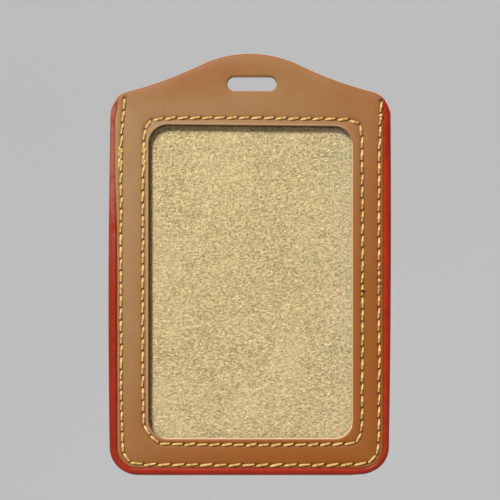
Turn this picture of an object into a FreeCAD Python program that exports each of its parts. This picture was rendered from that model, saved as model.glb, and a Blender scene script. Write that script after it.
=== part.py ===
"""Upright leather card holder with a clear window, a suede-lined pocket and a lanyard slot.

Millimetres. The holder stands upright with its front facing -Y and its width along X. The origin is the
centre of the lanyard slot, half way through the thickness. Heights named "..._Z" are measured up from
the holder's bottom edge; up() turns them into the model's own Z.
"""
import FreeCAD
import Part
import math
import os

V = FreeCAD.Vector

# ---- the standard card that the pocket holds ----
CARD_WIDTH = 54.0
CARD_HEIGHT = 85.6
CARD_SIDE_CLEARANCE = 1.0

# ---- margins round the card, seen from the front ----
POCKET_FLOOR_Z = 4.5       # bottom edge up to where the card stands
SIDE_STRIP = 5.25          # pocket to the leather's cut edge
ABOVE_CARD = 14.9          # card's top edge up to the top of the hump

# ---- red edge finish ----
EDGE_WIDTH = 1.75
EDGE_ROUNDING = 1.3

# ---- outline ----
BOTTOM_CORNER_RADIUS = 7.0
SHOULDER_RADIUS = 6.0
SHOULDER_DROP = 15.3       # top of the hump down to where the sides start to turn in
HUMP_RADIUS = 28.0
FLARE_RADIUS = 100.0        # hollow curve that joins the hump to a shoulder

# ---- layers, front to back ----
FRONT_LEATHER = 1.0
FILM = 0.25
POCKET_DEPTH = 1.1         # a card of 0.76 to 0.84 and the seam's underside
LINING = 0.45
BACK_LEATHER = 1.0

# ---- window in the front, smaller than the card all round ----
CARD_BEHIND_SIDES = 1.5
CARD_BELOW_WINDOW = 4.9
CARD_ABOVE_WINDOW = 3.3
WINDOW_CORNER_RADIUS = 4.5
FILM_ABOVE_WINDOW = 4.4

# ---- lanyard slot ----
SLOT_LENGTH = 12.6
SLOT_WIDTH = 3.6
SLOT_BELOW_TOP = 7.5

# ---- free top of the front, which flexes forwards ----
BEND_BELOW_SLOT = 1.6      # lowest edge of the slot down to the bend line
BEND_GAP = 0.3

# ---- seams ----
OUTER_SEAM_INSET = 3.0     # in from the outer edge
OUTER_SEAM_END_BELOW_BEND = 0.9
WINDOW_SEAM_MARGIN = 1.7   # out from the window's edge
STITCH_PITCH = 3.1
STITCH_GAP = 0.5
THREAD_WIDTH = 0.7
THREAD_RISE = 0.35         # how far a stitch stands out of the front
BOBBIN_RISE = 0.2          # thickness of the flatter underside of a seam
STITCH_SLANT = 8.0         # degrees off the seam line
CHANNEL_CLEARANCE = 0.06   # each side of the stitches sunk in the back

# ---- derived sizes and places ----
POCKET_HALF_WIDTH = CARD_WIDTH / 2 + CARD_SIDE_CLEARANCE
WIDTH = 2 * (POCKET_HALF_WIDTH + SIDE_STRIP + EDGE_WIDTH)
HEIGHT = POCKET_FLOOR_Z + CARD_HEIGHT + ABOVE_CARD
WINDOW_HALF_WIDTH = CARD_WIDTH / 2 - CARD_BEHIND_SIDES
WINDOW_BOTTOM_Z = POCKET_FLOOR_Z + CARD_BELOW_WINDOW
WINDOW_TOP_Z = POCKET_FLOOR_Z + CARD_HEIGHT - CARD_ABOVE_WINDOW

THICKNESS = FRONT_LEATHER + FILM + POCKET_DEPTH + LINING + BACK_LEATHER
FRONT_Y = -THICKNESS / 2
FILM_Y = FRONT_Y + FRONT_LEATHER
POCKET_Y = FILM_Y + FILM
LINING_Y = POCKET_Y + POCKET_DEPTH
BACK_LEATHER_Y = LINING_Y + LINING
BACK_Y = BACK_LEATHER_Y + BACK_LEATHER

SLOT_Z = HEIGHT - SLOT_BELOW_TOP
BEND_Z = SLOT_Z - SLOT_WIDTH / 2 - BEND_BELOW_SLOT
SEAM_END_Z = BEND_Z - OUTER_SEAM_END_BELOW_BEND


def up(height):
    """Model Z of a height above the holder's bottom edge."""
    return height - SLOT_Z


def at(x, height, y=0.0):
    return V(x, y, up(height))


def line(a, b):
    return Part.LineSegment(a, b).toShape()


def arc(centre, radius, start_deg, end_deg):
    """Arc in the XZ plane. Angles run from +X towards +Z."""
    def on_circle(degrees):
        turn = math.radians(degrees)
        return centre + V(radius * math.cos(turn), 0, radius * math.sin(turn))
    middle = on_circle((start_deg + end_deg) / 2)
    return Part.Arc(on_circle(start_deg), middle, on_circle(end_deg)).toShape()


def heading(a, b):
    """Angle of the line from a to b, in degrees from +X towards +Z."""
    return math.degrees(math.atan2(b.z - a.z, b.x - a.x))


def mirrored(edges):
    plane = (V(0, 0, 0), V(1, 0, 0))
    return [edge.mirror(*plane) for edge in reversed(edges)]


def filled(edges):
    return Part.Face(Part.Wire(Part.__sortEdges__(edges)))


def slab(face, y_front, depth):
    """Solid of a face in the XZ plane, from y_front towards the back."""
    placed = face.copy()
    placed.translate(V(0, y_front, 0))
    return placed.extrude(V(0, depth, 0))


def rectangle(half_width, bottom_z, top_z, radius):
    """Rounded rectangle about x = 0, as a face."""
    right = half_width - radius
    low, high = bottom_z + radius, top_z - radius
    edges = [
        line(at(-right, bottom_z), at(right, bottom_z)),
        arc(at(right, low), radius, -90, 0),
        line(at(half_width, low), at(half_width, high)),
        arc(at(right, high), radius, 0, 90),
        line(at(right, top_z), at(-right, top_z)),
        arc(at(-right, high), radius, 90, 180),
        line(at(-half_width, high), at(-half_width, low)),
        arc(at(-right, low), radius, 180, 270),
    ]
    return filled(edges)


def band(bottom_z, top_z):
    """Face as wide as the holder and more, between two heights."""
    return rectangle(WIDTH, bottom_z, top_z, EDGE_WIDTH)


def flare_centre(hump_centre, shoulder_centre):
    """Centre of the hollow arc that touches the hump's and the shoulder's circle from outside."""
    to_hump = HUMP_RADIUS + FLARE_RADIUS
    to_shoulder = SHOULDER_RADIUS + FLARE_RADIUS
    apart = shoulder_centre - hump_centre
    distance = apart.Length
    along = (to_hump ** 2 - to_shoulder ** 2 + distance ** 2) / (2 * distance)
    across = math.sqrt(to_hump ** 2 - along ** 2)
    direction = apart / distance
    normal = V(-direction.z, 0, direction.x)
    return hump_centre + direction * along + normal * across


def outer_face():
    """Whole outline: hump, hollow flanks, round shoulders, straight sides and round bottom corners."""
    half = WIDTH / 2
    hump = at(0, HEIGHT - HUMP_RADIUS)
    shoulder = at(half - SHOULDER_RADIUS, HEIGHT - SHOULDER_DROP)
    flare = flare_centre(hump, shoulder)
    hump_end = heading(hump, flare)
    shoulder_start = heading(shoulder, flare)
    corner = at(half - BOTTOM_CORNER_RADIUS, BOTTOM_CORNER_RADIUS)
    right = [
        arc(hump, HUMP_RADIUS, 90, hump_end),
        arc(flare, FLARE_RADIUS, hump_end - 180, shoulder_start - 180),
        arc(shoulder, SHOULDER_RADIUS, shoulder_start, 0),
        line(at(half, HEIGHT - SHOULDER_DROP), at(half, BOTTOM_CORNER_RADIUS)),
        arc(corner, BOTTOM_CORNER_RADIUS, 0, -90),
    ]
    bottom = line(at(half - BOTTOM_CORNER_RADIUS, 0), at(BOTTOM_CORNER_RADIUS - half, 0))
    return filled(right + [bottom] + mirrored(right))


def leather_face(outline):
    """Cut leather: the outline less the edge finish, which runs out on the shoulders."""
    inside = rectangle(WIDTH / 2 - EDGE_WIDTH, EDGE_WIDTH, 2 * HEIGHT, BOTTOM_CORNER_RADIUS - EDGE_WIDTH)
    return outline.common(inside)


def round_ended(length, width):
    """Bar with round ends along X, centred on the origin, as a face."""
    straight = (length - width) / 2
    radius = width / 2
    edges = [
        line(V(-straight, 0, -radius), V(straight, 0, -radius)),
        arc(V(straight, 0, 0), radius, -90, 90),
        line(V(straight, 0, radius), V(-straight, 0, radius)),
        arc(V(-straight, 0, 0), radius, 90, 270),
    ]
    return filled(edges)


def slot_face():
    """Lanyard slot. The model's origin is its centre."""
    return round_ended(SLOT_LENGTH, SLOT_WIDTH)


def window_face(margin=0.0):
    """Window opening, or the same shape this much larger all round."""
    return rectangle(
        WINDOW_HALF_WIDTH + margin,
        WINDOW_BOTTOM_Z - margin,
        WINDOW_TOP_Z + margin,
        WINDOW_CORNER_RADIUS + margin,
    )


# ---- cut pieces ----

def front_panel(leather):
    """Frame round the window, up to the bend line."""
    below_bend = leather.common(band(-HEIGHT, BEND_Z - BEND_GAP / 2))
    return slab(below_bend.cut(window_face()), FRONT_Y, FRONT_LEATHER)


def front_tab(leather):
    """Free top of the front sheet, with the slot."""
    above_bend = leather.common(band(BEND_Z + BEND_GAP / 2, 2 * HEIGHT))
    return slab(above_bend.cut(slot_face()), FRONT_Y, FRONT_LEATHER)


def clear_window(leather):
    """Film behind the front, caught by both seams, ending above the window."""
    sheet = leather.common(band(-HEIGHT, WINDOW_TOP_Z + FILM_ABOVE_WINDOW))
    return slab(sheet, FILM_Y, FILM)


def pocket_spacer(leather):
    """U-shaped strip that holds the film off the lining by a card's depth."""
    strip = leather.common(band(-HEIGHT, WINDOW_TOP_Z + FILM_ABOVE_WINDOW))
    pocket = rectangle(POCKET_HALF_WIDTH, POCKET_FLOOR_Z, 2 * HEIGHT, CARD_SIDE_CLEARANCE)
    return slab(strip.cut(pocket), POCKET_Y, POCKET_DEPTH)


def back_lining(leather):
    return slab(leather.cut(slot_face()), LINING_Y, LINING)


def back_panel(leather):
    """Back leather. The outer seam's underside lies in a channel in it, so that the back is flat."""
    sheet = slab(leather.cut(slot_face()), BACK_LEATHER_Y, BACK_LEATHER)
    return sheet.cut(slab(outer_seam_channel(), BACK_Y - BOBBIN_RISE, BOBBIN_RISE))


def edge_paint(outline, leather):
    """Rounded bead down both sides and round the bottom, as deep as the whole stack."""
    block = slab(outline, FRONT_Y, THICKNESS)
    rims = [edge for edge in block.Edges if edge.BoundBox.YLength < EDGE_WIDTH / 100]
    rounded = block.makeFillet(EDGE_ROUNDING, rims)
    return rounded.cut(slab(leather, FRONT_Y - EDGE_WIDTH, THICKNESS + 2 * EDGE_WIDTH))


# ---- seams ----

def outer_seam_path():
    """U-shaped line from one shoulder round the bottom to the other."""
    half = WIDTH / 2 - OUTER_SEAM_INSET
    radius = BOTTOM_CORNER_RADIUS - OUTER_SEAM_INSET
    bottom = OUTER_SEAM_INSET
    low = bottom + radius
    edges = [
        line(at(-half, SEAM_END_Z), at(-half, low)),
        arc(at(radius - half, low), radius, 180, 270),
        line(at(radius - half, bottom), at(half - radius, bottom)),
        arc(at(half - radius, low), radius, -90, 0),
        line(at(half, low), at(half, SEAM_END_Z)),
    ]
    return Part.Wire(edges)


def outer_seam_channel():
    """Strip along the outer seam, wide enough for straight stitches round its bends, as a face."""
    half = WIDTH / 2 - OUTER_SEAM_INSET
    radius = BOTTOM_CORNER_RADIUS - OUTER_SEAM_INSET
    chord_sag = STITCH_PITCH ** 2 / (8 * radius)
    side = THREAD_WIDTH / 2 + chord_sag + CHANNEL_CLEARANCE
    around = rectangle(half + side, OUTER_SEAM_INSET - side, 2 * HEIGHT, radius + side)
    within = rectangle(half - side, OUTER_SEAM_INSET + side, 2 * HEIGHT, radius - side)
    return around.cut(within).common(band(-HEIGHT, SEAM_END_Z + side))


def window_seam_path():
    return window_face(WINDOW_SEAM_MARGIN).OuterWire


def seam(path, surface_y, rise, slant=0.0):
    """Row of separate stitches along a path, standing off a surface by rise (negative is forwards)."""
    count = round(path.Length / STITCH_PITCH)
    pitch = path.Length / count
    ends = path.discretize(Number=count + 1)
    blank = round_ended(pitch - STITCH_GAP, THREAD_WIDTH).extrude(V(0, rise, 0))
    stitches = []
    for start, end in zip(ends, ends[1:]):
        stitch = blank.copy()
        stitch.rotate(V(0, 0, 0), V(0, -1, 0), heading(start, end) + slant)
        stitch.translate((start + end) / 2 + V(0, surface_y, 0))
        stitches.append(stitch)
    return Part.makeCompound(stitches)


def build():
    outline = outer_face()
    leather = leather_face(outline)
    outer_path = outer_seam_path()
    window_path = window_seam_path()
    return {
        "front_panel": front_panel(leather),
        "front_tab": front_tab(leather),
        "clear_window": clear_window(leather),
        "pocket_spacer": pocket_spacer(leather),
        "back_lining": back_lining(leather),
        "back_panel": back_panel(leather),
        "edge_paint": edge_paint(outline, leather),
        "outer_seam_thread": seam(outer_path, FRONT_Y, -THREAD_RISE, STITCH_SLANT),
        "outer_seam_bobbin_thread": seam(outer_path, BACK_Y - BOBBIN_RISE, BOBBIN_RISE),
        "window_seam_thread": seam(window_path, FRONT_Y, -THREAD_RISE, STITCH_SLANT),
        "window_seam_bobbin_thread": seam(window_path, POCKET_Y, BOBBIN_RISE),
    }


os.makedirs("parts", exist_ok=True)
for name, shape in build().items():
    box = shape.BoundBox
    print(
        f"{name:28s} solids {len(shape.Solids):3d}  valid {shape.isValid()}  {shape.Volume:9.1f} mm3  "
        f"x {box.XMin:.2f}..{box.XMax:.2f}  y {box.YMin:.2f}..{box.YMax:.2f}  z {box.ZMin:.2f}..{box.ZMax:.2f}"
    )
    shape.exportStep(f"parts/{name}.step")
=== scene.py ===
"""Leather card holder: sewn front, clear window, suede lining, red edge finish, waxed stitching.

Lengths in the drawing functions are millimetres in the frame's own axes: x across, z up, and the front
faces -Y. Heights in the size lists are measured up from the holder's bottom edge.
"""

import math

import bmesh
import bpy
import numpy as np
from bpy.props import FloatProperty, FloatVectorProperty, IntProperty, PointerProperty
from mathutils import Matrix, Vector
from mathutils.geometry import delaunay_2d_cdt
from mathutils.kdtree import KDTree


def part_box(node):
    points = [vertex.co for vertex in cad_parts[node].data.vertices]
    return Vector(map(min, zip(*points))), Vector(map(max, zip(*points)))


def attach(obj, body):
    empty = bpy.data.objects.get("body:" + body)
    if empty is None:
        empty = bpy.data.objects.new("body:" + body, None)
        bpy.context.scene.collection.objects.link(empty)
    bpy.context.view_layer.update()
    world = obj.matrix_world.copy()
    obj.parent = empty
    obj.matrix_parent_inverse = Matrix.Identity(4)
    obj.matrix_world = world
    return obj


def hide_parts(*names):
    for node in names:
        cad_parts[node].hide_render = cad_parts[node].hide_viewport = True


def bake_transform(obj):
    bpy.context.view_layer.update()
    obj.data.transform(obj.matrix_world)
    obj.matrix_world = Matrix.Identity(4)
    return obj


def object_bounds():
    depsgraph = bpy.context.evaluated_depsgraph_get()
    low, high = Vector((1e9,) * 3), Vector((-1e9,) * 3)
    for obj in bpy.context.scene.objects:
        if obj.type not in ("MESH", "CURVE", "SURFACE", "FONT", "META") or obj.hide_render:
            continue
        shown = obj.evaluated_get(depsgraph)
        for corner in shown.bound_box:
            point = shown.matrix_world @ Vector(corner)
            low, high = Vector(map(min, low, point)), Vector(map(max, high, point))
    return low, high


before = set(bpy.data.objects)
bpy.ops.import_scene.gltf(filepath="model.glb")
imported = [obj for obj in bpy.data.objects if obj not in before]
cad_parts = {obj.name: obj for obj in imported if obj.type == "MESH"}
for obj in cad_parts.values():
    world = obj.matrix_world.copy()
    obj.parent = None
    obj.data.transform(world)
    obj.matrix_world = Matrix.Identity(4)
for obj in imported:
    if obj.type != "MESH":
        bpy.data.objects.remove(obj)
CAD_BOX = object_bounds()

bl_info = {
    "name": "Leather Card Holder",
    "version": (1, 0, 0),
    "blender": (4, 5, 0),
    "location": "3D View > Sidebar > Card Holder",
    "description": "Builds a stitched leather card holder piece by piece",
    "category": "Add Mesh",
}

MM = 0.001

# ---- places read from the frame, in millimetres ----
LOW, HIGH = (np.array(corner) / MM for corner in CAD_BOX)
HALF_WIDTH = (HIGH[0] - LOW[0]) / 2
TOP, BOTTOM = HIGH[2], LOW[2]
LEATHER_LOW, LEATHER_HIGH = (np.array(corner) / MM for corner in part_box("back_panel"))
EDGE_WIDTH = HALF_WIDTH - LEATHER_HIGH[0]
FRONT_Y, FILM_Y = (corner[1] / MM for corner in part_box("front_panel"))
LINING_Y, BACK_LEATHER_Y = (corner[1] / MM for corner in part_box("back_lining"))
BACK_Y = LEATHER_HIGH[1]
POCKET_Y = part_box("clear_window")[1][1] / MM

# ---- sewing lines as the machine really ran them: (across, up from the bottom edge) ----
OUTER_SEAM_LINE = [
    (-31.1, 93.9), (-31.6, 88.5), (-32.1, 83.0), (-32.1, 20.0), (-31.7, 10.0), (-31.6, 5.6),
    (-30.4, 3.4), (-27.5, 2.70), (27.8, 2.75), (30.7, 3.3), (32.0, 6.0), (32.1, 10.0), (32.1, 80.0),
    (32.35, 86.0), (32.65, 90.0), (32.6, 93.3),
]
WINDOW_SEAM_LINE = [
    (-26.75, 13.6), (-26.0, 11.6), (-23.8, 8.5), (-21.5, 7.7), (24.5, 7.75), (27.3, 8.4), (28.0, 12.0),
    (28.0, 84.0), (27.4, 87.9), (24.5, 88.8), (-22.0, 89.1), (-25.7, 88.3), (-26.6, 85.0),
]
BACK_TACKS = [
    [(-32.5, 82.2), (-32.45, 79.2), (-32.5, 76.4)],
    [(-26.15, 82.0), (-26.2, 79.0), (-26.15, 76.2)],
]
MELTED_END = (28.0, 46.0)
SEWN_KNOT = (32.05, 46.9)
TOP_KNOT = (32.55, 89.6)


# ---- sizes and colours a user would change ----

def length_property(name, description, default):
    """Length that a user can change. The default is in millimetres."""
    return FloatProperty(name=name, description=description, default=default * MM, unit="LENGTH")


def angle_property(name, description, default):
    """Angle that a user can change. The default is in degrees."""
    turn = math.radians(default)
    return FloatProperty(name=name, description=description, default=turn, subtype="ANGLE")


def colour_property(name, description, default):
    """Colour that a user can change, in linear light."""
    return FloatVectorProperty(name=name, description=description, default=default, subtype="COLOR")


class HolderSizes(bpy.types.PropertyGroup):
    """Sizes of the holder's outline, window, slot, edge and sewing."""
    hump_radius: length_property("Hump radius", "Radius of the rounded top", 28.0)
    flare_radius: length_property("Flare radius", "Radius of the hollow flanks", 100.0)
    shoulder_radius: length_property("Shoulder radius", "Radius of the shoulders", 6.0)
    shoulder_drop: length_property(
        "Shoulder drop", "Top of the hump down to where the sides turn in", 15.3)
    corner_radius: length_property("Corner radius", "Radius of the bottom corners", 7.0)
    window_width: length_property("Window width", "Width of the window", 50.3)
    window_shift: length_property("Window shift", "How far the window is cut off centre", 0.25)
    window_bottom: length_property("Window bottom", "Bottom edge up to the window", 9.4)
    window_top: length_property("Window top", "Bottom edge up to the window's top", 86.8)
    window_radius: length_property("Window corner", "Radius of the window's corners", 4.5)
    slot_length: length_property("Slot length", "Length of the lanyard slot", 12.3)
    slot_shift: length_property("Slot shift", "How far the slot is punched off centre", 0.5)
    slot_width: length_property("Slot width", "Height of the lanyard slot", 3.6)
    stitch_pitch: length_property("Stitch pitch", "Hole to hole along the sides", 3.08)
    long_pitch: length_property(
        "Long pitch", "Hole to hole along the bottom of the outer seam", 3.5)
    thread_width: length_property("Thread width", "Thickness of the thread", 0.71)
    slant_across: angle_property("Slant across", "Turn of the stitches on level stretches", 9.0)
    slant_upright: angle_property(
        "Slant upright", "Turn of the stitches on upright stretches", -5.0)
    bead_belly: length_property("Bead belly", "How far the edge finish bulges at its fullest", 0.32)
    sewing_seed: IntProperty(
        name="Sewing seed", description="Changes the small unevenness of the stitches", default=7)


class HolderColours(bpy.types.PropertyGroup):
    """Colours of the holder's leather, lining, thread and edge."""
    leather: colour_property("Leather", "Tan leather", (0.222, 0.067, 0.0080))
    # Pale leather is the colour of the painted sheen towards the upper left, and of the paler streaks
    leather_pale: colour_property(
        "Pale leather", "Leather where it has faded", (0.272, 0.152, 0.062))
    cut_edge: colour_property("Cut edge", "Raw edge of the leather", (0.60, 0.43, 0.26))
    lining: colour_property("Lining", "Suede lining", (0.545, 0.425, 0.203))
    thread: colour_property("Thread", "Waxed thread", (0.64, 0.375, 0.100))
    edge: colour_property("Edge", "Red edge finish", (0.325, 0.018, 0.0025))
    backdrop: colour_property("Backdrop", "Floor and backdrop", (0.515, 0.515, 0.515))


# ---- node building ----

class Socket:
    """A number on a node's socket. Arithmetic on it adds Math nodes to the same tree."""

    def __init__(self, maker, link):
        self.maker = maker
        self.link = link

    def math(self, operation, *others):
        node = self.maker.add("ShaderNodeMath", {"operation": operation})
        for place, value in enumerate((self,) + others):
            self.maker.put(node.inputs[place], value)
        return Socket(self.maker, node.outputs[0])

    def flipped(self, operation, other):
        node = self.maker.add("ShaderNodeMath", {"operation": operation}, {0: other, 1: self})
        return Socket(self.maker, node.outputs[0])

    def __add__(self, other):
        return self.math("ADD", other)

    def __sub__(self, other):
        return self.math("SUBTRACT", other)

    def __rsub__(self, other):
        return self.flipped("SUBTRACT", other)

    def __mul__(self, other):
        return self.math("MULTIPLY", other)

    def __truediv__(self, other):
        return self.math("DIVIDE", other)

    def __pow__(self, other):
        return self.math("POWER", other)

    def __neg__(self):
        return self.math("MULTIPLY", -1.0)

    __radd__ = __add__
    __rmul__ = __mul__

    def within(self, low, high):
        """Runs smoothly from 0 to 1 as this goes from low to high."""
        values = {"Value": self, "From Min": low, "From Max": high}
        settings = {"interpolation_type": "SMOOTHSTEP"}
        return Socket(self.maker, self.maker.add("ShaderNodeMapRange", settings, values).outputs[0])


class Tree:
    """Adds nodes to one node tree."""

    def __init__(self, tree):
        self.tree = tree

    def put(self, socket, value):
        if isinstance(value, Socket):
            self.tree.links.new(value.link, socket)
        elif isinstance(value, bpy.types.NodeSocket):
            self.tree.links.new(value, socket)
        elif isinstance(value, bpy.types.Node):
            self.tree.links.new(value.outputs[0], socket)
        else:
            socket.default_value = value

    def add(self, kind, settings=None, values=None):
        node = self.tree.nodes.new(kind)
        for name, setting in (settings or {}).items():
            setattr(node, name, setting)
        for name, value in (values or {}).items():
            self.put(node.inputs[name], value)
        return node

    def number(self, kind, settings=None, values=None, output=0):
        return Socket(self, self.add(kind, settings, values).outputs[output])

    def across_and_up(self, vector):
        """X and Z of a vector."""
        parts = self.add("ShaderNodeSeparateXYZ", None, {0: vector}).outputs
        return Socket(self, parts[0]), Socket(self, parts[2])

    def attribute(self, name):
        return self.number("ShaderNodeAttribute", {"attribute_name": name}, output="Fac")

    def noise(self, vector, scale, detail=2.0, roughness=0.5, distortion=0.0):
        values = {"Vector": vector, "Scale": scale, "Detail": detail, "Roughness": roughness,
                  "Distortion": distortion}
        return self.number("ShaderNodeTexNoise", None, values)

    def cells(self, vector, scale):
        return self.number("ShaderNodeTexVoronoi", None, {"Vector": vector, "Scale": scale})

    def blend(self, share, first, second):
        node = self.add("ShaderNodeMix", {"data_type": "RGBA"})
        self.put(node.inputs[0], share)
        self.put(node.inputs[6], first)
        self.put(node.inputs[7], second)
        return node.outputs[2]

    def bump(self, height, distance, strength=1.0, under=None):
        values = {"Height": height, "Distance": distance, "Strength": strength}
        if under is not None:
            values["Normal"] = under
        return self.add("ShaderNodeBump", None, values).outputs[0]

    def stretched(self, vector, scale, turn=0.0):
        """Coordinates for strokes that rise to the right by turn degrees, turned and then stretched."""
        shrink = tuple(1.0 / share for share in scale)
        values = {"Vector": vector, "Rotation": (0.0, math.radians(-turn), 0.0), "Scale": shrink}
        return self.add("ShaderNodeMapping", {"vector_type": "TEXTURE"}, values).outputs[0]

    def store(self, geometry, name, value, data_type="FLOAT", domain="POINT"):
        """Geometry with a named attribute on it."""
        settings = {"data_type": data_type, "domain": domain}
        values = {"Geometry": geometry, "Name": name, "Value": value}
        return self.add("GeometryNodeStoreNamedAttribute", settings, values)


def new_material(name):
    material = bpy.data.materials.new(name)
    material.use_nodes = True
    material.node_tree.nodes.clear()
    maker = Tree(material.node_tree)
    where = maker.add("ShaderNodeTexCoord").outputs["Object"]
    return material, maker, where


def finish_material(maker, values):
    surface = maker.add("ShaderNodeBsdfPrincipled", None, values)
    maker.add("ShaderNodeOutputMaterial", None, {"Surface": surface.outputs[0]})


def rgba(colour):
    return (*colour, 1.0)


def shaded(colour, share):
    return (*(channel * share for channel in colour), 1.0)


# ---- materials ----

STAINED_RIM = (0.25, 0.060, 0.012, 1.0)
# painted shade inside the needle holes
NEEDLE_HOLE_SHADE = (0.018, 0.006, 0.002, 1.0)
# painted shade along the window's top and left edges
WINDOW_EDGE_SHADE = (0.050, 0.013, 0.003, 1.0)
NAP_TIP = (0.92, 0.78, 0.50, 1.0)
NAP_PATCH = (0.66, 0.50, 0.27, 1.0)
# painted highlight high on the bead's left side
FINISH_HIGHLIGHT = (0.36, 0.125, 0.085, 1.0)
FINISH_GLINT = (0.40, 0.045, 0.012, 1.0)
FINISH_LIP = (0.15, 0.010, 0.004, 1.0)
# painted highlight on the thread
THREAD_HIGHLIGHT = (0.78, 0.53, 0.24, 1.0)
THREAD_SHADOW = (0.17, 0.075, 0.02, 1.0)
THREAD_CHAR = (0.03, 0.013, 0.008, 1.0)
FILM_GREEN = (0.35, 0.58, 0.46, 1.0)
FILM_PINK = (0.80, 0.50, 0.56, 1.0)
BOARD_DARK = (0.20, 0.10, 0.045, 1.0)
BOARD_PALE = (0.40, 0.23, 0.11, 1.0)
PLIES = 2.0
PLY_TURNS = 7.0
NAP_RISE = 9.0


def leather_material(name, colours, side):
    """Smooth tan leather, paler towards its upper left as painted sheen where the key light falls. side
    is -1 for a front and 1 for a back.
    """
    material, maker, where = new_material(name)
    across, height = maker.across_and_up(where)
    unevenness = maker.noise(where, 45.0, 3.0) * 0.30 - 0.15
    near_top = height.within(-0.016, 0.004) * (across * (18.0 * side) + 0.46).math("MAXIMUM", 0.22)
    # painted sheen: paler towards the upper left, less so on the hump's top, with random unevenness
    painted_sheen = (height * 9.5 + across * (12.0 * side) + 0.92 - near_top + unevenness).within(0.0, 1.0)
    mottle = maker.noise(where, 260.0, 4.0, 0.6)
    streak = maker.noise(maker.stretched(where, (1.0, 1.0, 6.0), 20.0), 420.0, 3.0)
    colour = maker.blend(painted_sheen, rgba(colours.leather), rgba(colours.leather_pale))
    colour = maker.blend(mottle.within(0.35, 0.75) * 0.10, colour, shaded(colours.leather, 0.62))
    colour = maker.blend(streak.within(0.5, 0.75) * 0.05, colour, shaded(colours.leather_pale, 1.12))
    groove, cut = maker.attribute("groove"), maker.attribute("cut")
    colour = maker.blend(maker.attribute("rim") * 0.70, colour, STAINED_RIM)
    # painted shade along the sunken seams
    colour = maker.blend(groove * 0.30, colour, shaded(colours.leather, 0.55))
    # painted shade: the needle holes near black
    colour = maker.blend(maker.attribute("hole") * 0.95, colour, NEEDLE_HOLE_SHADE)
    fibres = maker.noise(maker.stretched(where, (1.0, 2.5, 1.0)), 5200.0, 3.0)
    fibre_share = fibres.within(0.35, 0.7) * 0.35
    raw = maker.blend(fibre_share, rgba(colours.cut_edge), shaded(colours.cut_edge, 0.6))
    # raw cut-edge colour on the cut walls and the plain face, also the painted highlight along the
    # window's lower and right edges
    colour = maker.blend(cut, colour, raw)
    # painted shade: a dark line along the window's top and left edges
    colour = maker.blend(maker.attribute("painted_window_shade"), colour, WINDOW_EDGE_SHADE)
    pores = maker.cells(where, 2600.0).within(0.0, 0.22)
    creases = maker.noise(where, 900.0, 5.0, 0.62)
    relief = maker.bump(creases, 0.05 * MM, 0.5)
    relief = maker.bump(pores, 0.03 * MM, 0.55, relief)
    relief = maker.bump(fibres, 0.06 * MM, cut * 0.8 + 0.02, relief)
    rough = mottle * 0.14 + 0.46 + cut * 0.30 + groove * 0.1
    finish_material(maker, {
        "Base Color": colour,
        "Roughness": rough,
        "Normal": relief,
        "Specular IOR Level": 0.18,
    })
    return material


def suede_material(colours):
    """Short-nap suede: fine light and dark tufts, brushed aslant and more so in the lower half."""
    material, maker, where = new_material("suede_nap")
    _, height = maker.across_and_up(where)
    lower = height.within(-0.035, -0.075)
    tufts = maker.noise(where, 1900.0, 5.0, 0.72, 0.2)
    brushed = maker.noise(maker.stretched(where, (1.0, 1.0, 2.2), NAP_RISE), 1350.0, 4.0, 0.66, 0.4)
    brushing = lower * 0.12 + 0.48
    nap = tufts * (1.0 - brushing) + brushed * brushing
    clumps = maker.noise(where, 620.0, 3.0, 0.6)
    patches = maker.noise(where, 70.0, 3.0)
    root, tip = shaded(colours.lining, 0.38), shaded(colours.lining, 1.16)
    colour = maker.blend(nap.within(0.39, 0.59), root, tip)
    colour = maker.blend(nap.within(0.56, 0.65) * 0.8, colour, NAP_TIP)
    colour = maker.blend(clumps.within(0.45, 0.72) * 0.30, colour, shaded(colours.lining, 0.72))
    colour = maker.blend(patches.within(0.4, 0.75) * 0.25, colour, NAP_PATCH)
    relief = maker.bump(nap, 0.40 * MM, 0.9)
    relief = maker.bump(clumps, 0.35 * MM, 0.5, relief)
    finish_material(maker, {
        "Base Color": colour,
        "Roughness": 0.93,
        "Specular IOR Level": 0.15,
        "Sheen Weight": 0.06,
        "Sheen Roughness": 0.5,
        "Normal": relief,
    })
    return material


def edge_material(colours):
    """Thick red edge finish, glossy and a little lumpy, darker where it meets the leather, with painted
    shade down its left side and a painted highlight high on its left.
    """
    material, maker, where = new_material("red_edge_finish")
    lumps = maker.noise(where, 330.0, 3.0)
    fine = maker.noise(where, 1500.0, 3.0)
    across, height = maker.across_and_up(where)
    left = 1.0 - across.within(-0.0335, -0.0315)
    # painted highlight: pinkish patches high on the bead's left side
    upper_left_highlight = left * height.within(-0.055, -0.02) * lumps.within(0.25, 0.6)
    colour = maker.blend(lumps.within(0.35, 0.7) * 0.55, rgba(colours.edge), shaded(colours.edge, 0.62))
    # painted shade: the left side of the bead darker
    colour = maker.blend(left * 0.5, colour, shaded(colours.edge, 0.55))
    colour = maker.blend(upper_left_highlight * 0.55, colour, FINISH_HIGHLIGHT)
    colour = maker.blend(fine.within(0.55, 0.75) * 0.15, colour, FINISH_GLINT)
    colour = maker.blend(maker.attribute("inner") * 0.60, colour, FINISH_LIP)
    relief = maker.bump(lumps, 0.25 * MM, 0.45)
    relief = maker.bump(fine, 0.05 * MM, 0.5, relief)
    finish_material(maker, {
        "Base Color": colour,
        "Roughness": fine * 0.2 + 0.30,
        "Specular IOR Level": 0.18,
        "Coat Weight": 0.07,
        "Coat Roughness": 0.22,
        "Normal": relief,
    })
    return material


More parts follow.
